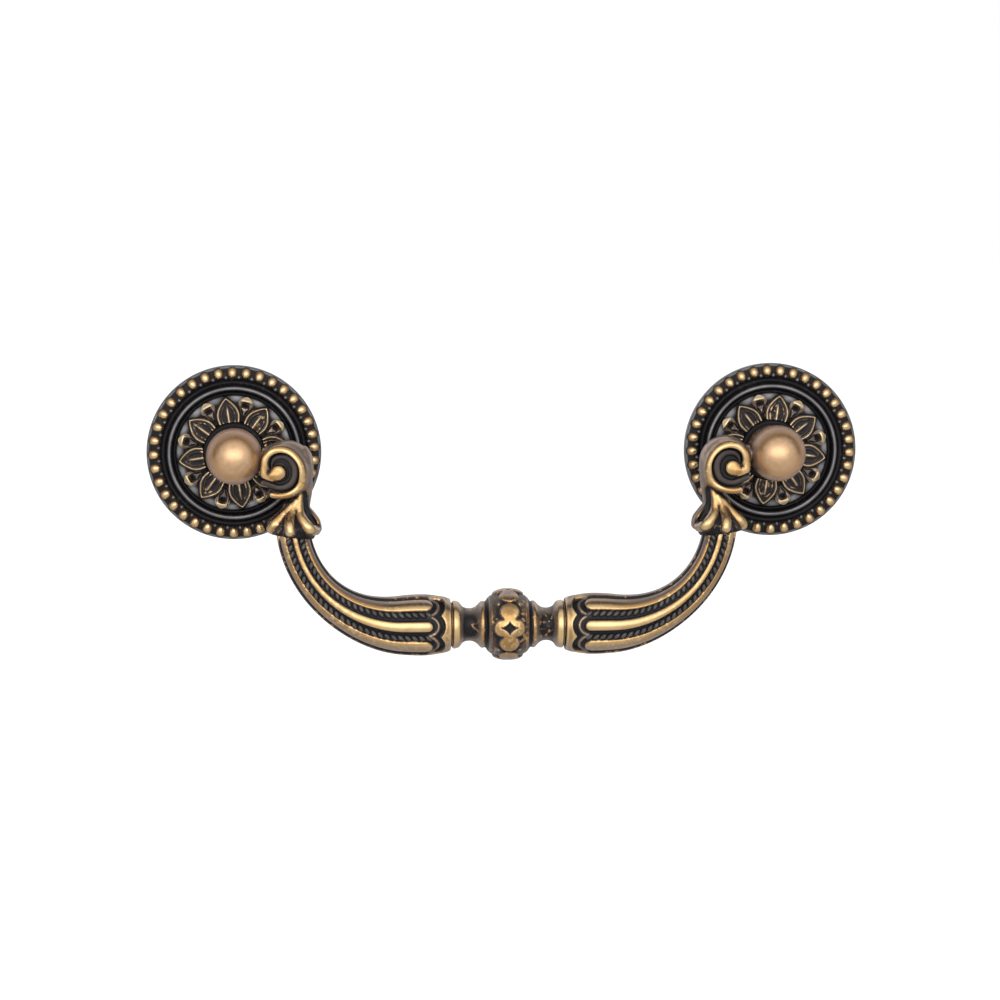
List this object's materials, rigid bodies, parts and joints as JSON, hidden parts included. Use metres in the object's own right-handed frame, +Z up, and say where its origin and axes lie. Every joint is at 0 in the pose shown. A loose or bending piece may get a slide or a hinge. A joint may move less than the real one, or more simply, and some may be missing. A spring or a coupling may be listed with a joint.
{
  "type": "drop pull",
  "caption": "Drop pull with a reeded, scroll-ended bail that swings on pins between ball-headed posts on round beaded rosettes.",
  "frame": {"origin": "midway between the two screw holes, on the plane of the rosettes' backs", "axes": "X from the left post to the right post as seen from the front, +Z up as fitted on a drawer front, front towards -Y"},
  "size_m": [0.127, 0.0168, 0.0518],
  "materials": {
    "rosette": "antique",
    "post": "satin antique",
    "bail": "antique",
    "pin": "satin"
  },
  "bodies": {
    "mounted": {"rosette_left": "rosette", "rosette_right": "rosette", "post_left": "post", "post_right": "post"},
    "bail": {"bail": "bail", "pivot_pin_left": "pin", "pivot_pin_right": "pin"}
  },
  "joints": [
    {"name": "bail_swing", "type": "hinge", "parent": "mounted", "child": "bail", "pos_m": [0, -0.0105, 0], "axis": [-1, 0, 0], "range_deg": [-6, 186]}
  ]
}
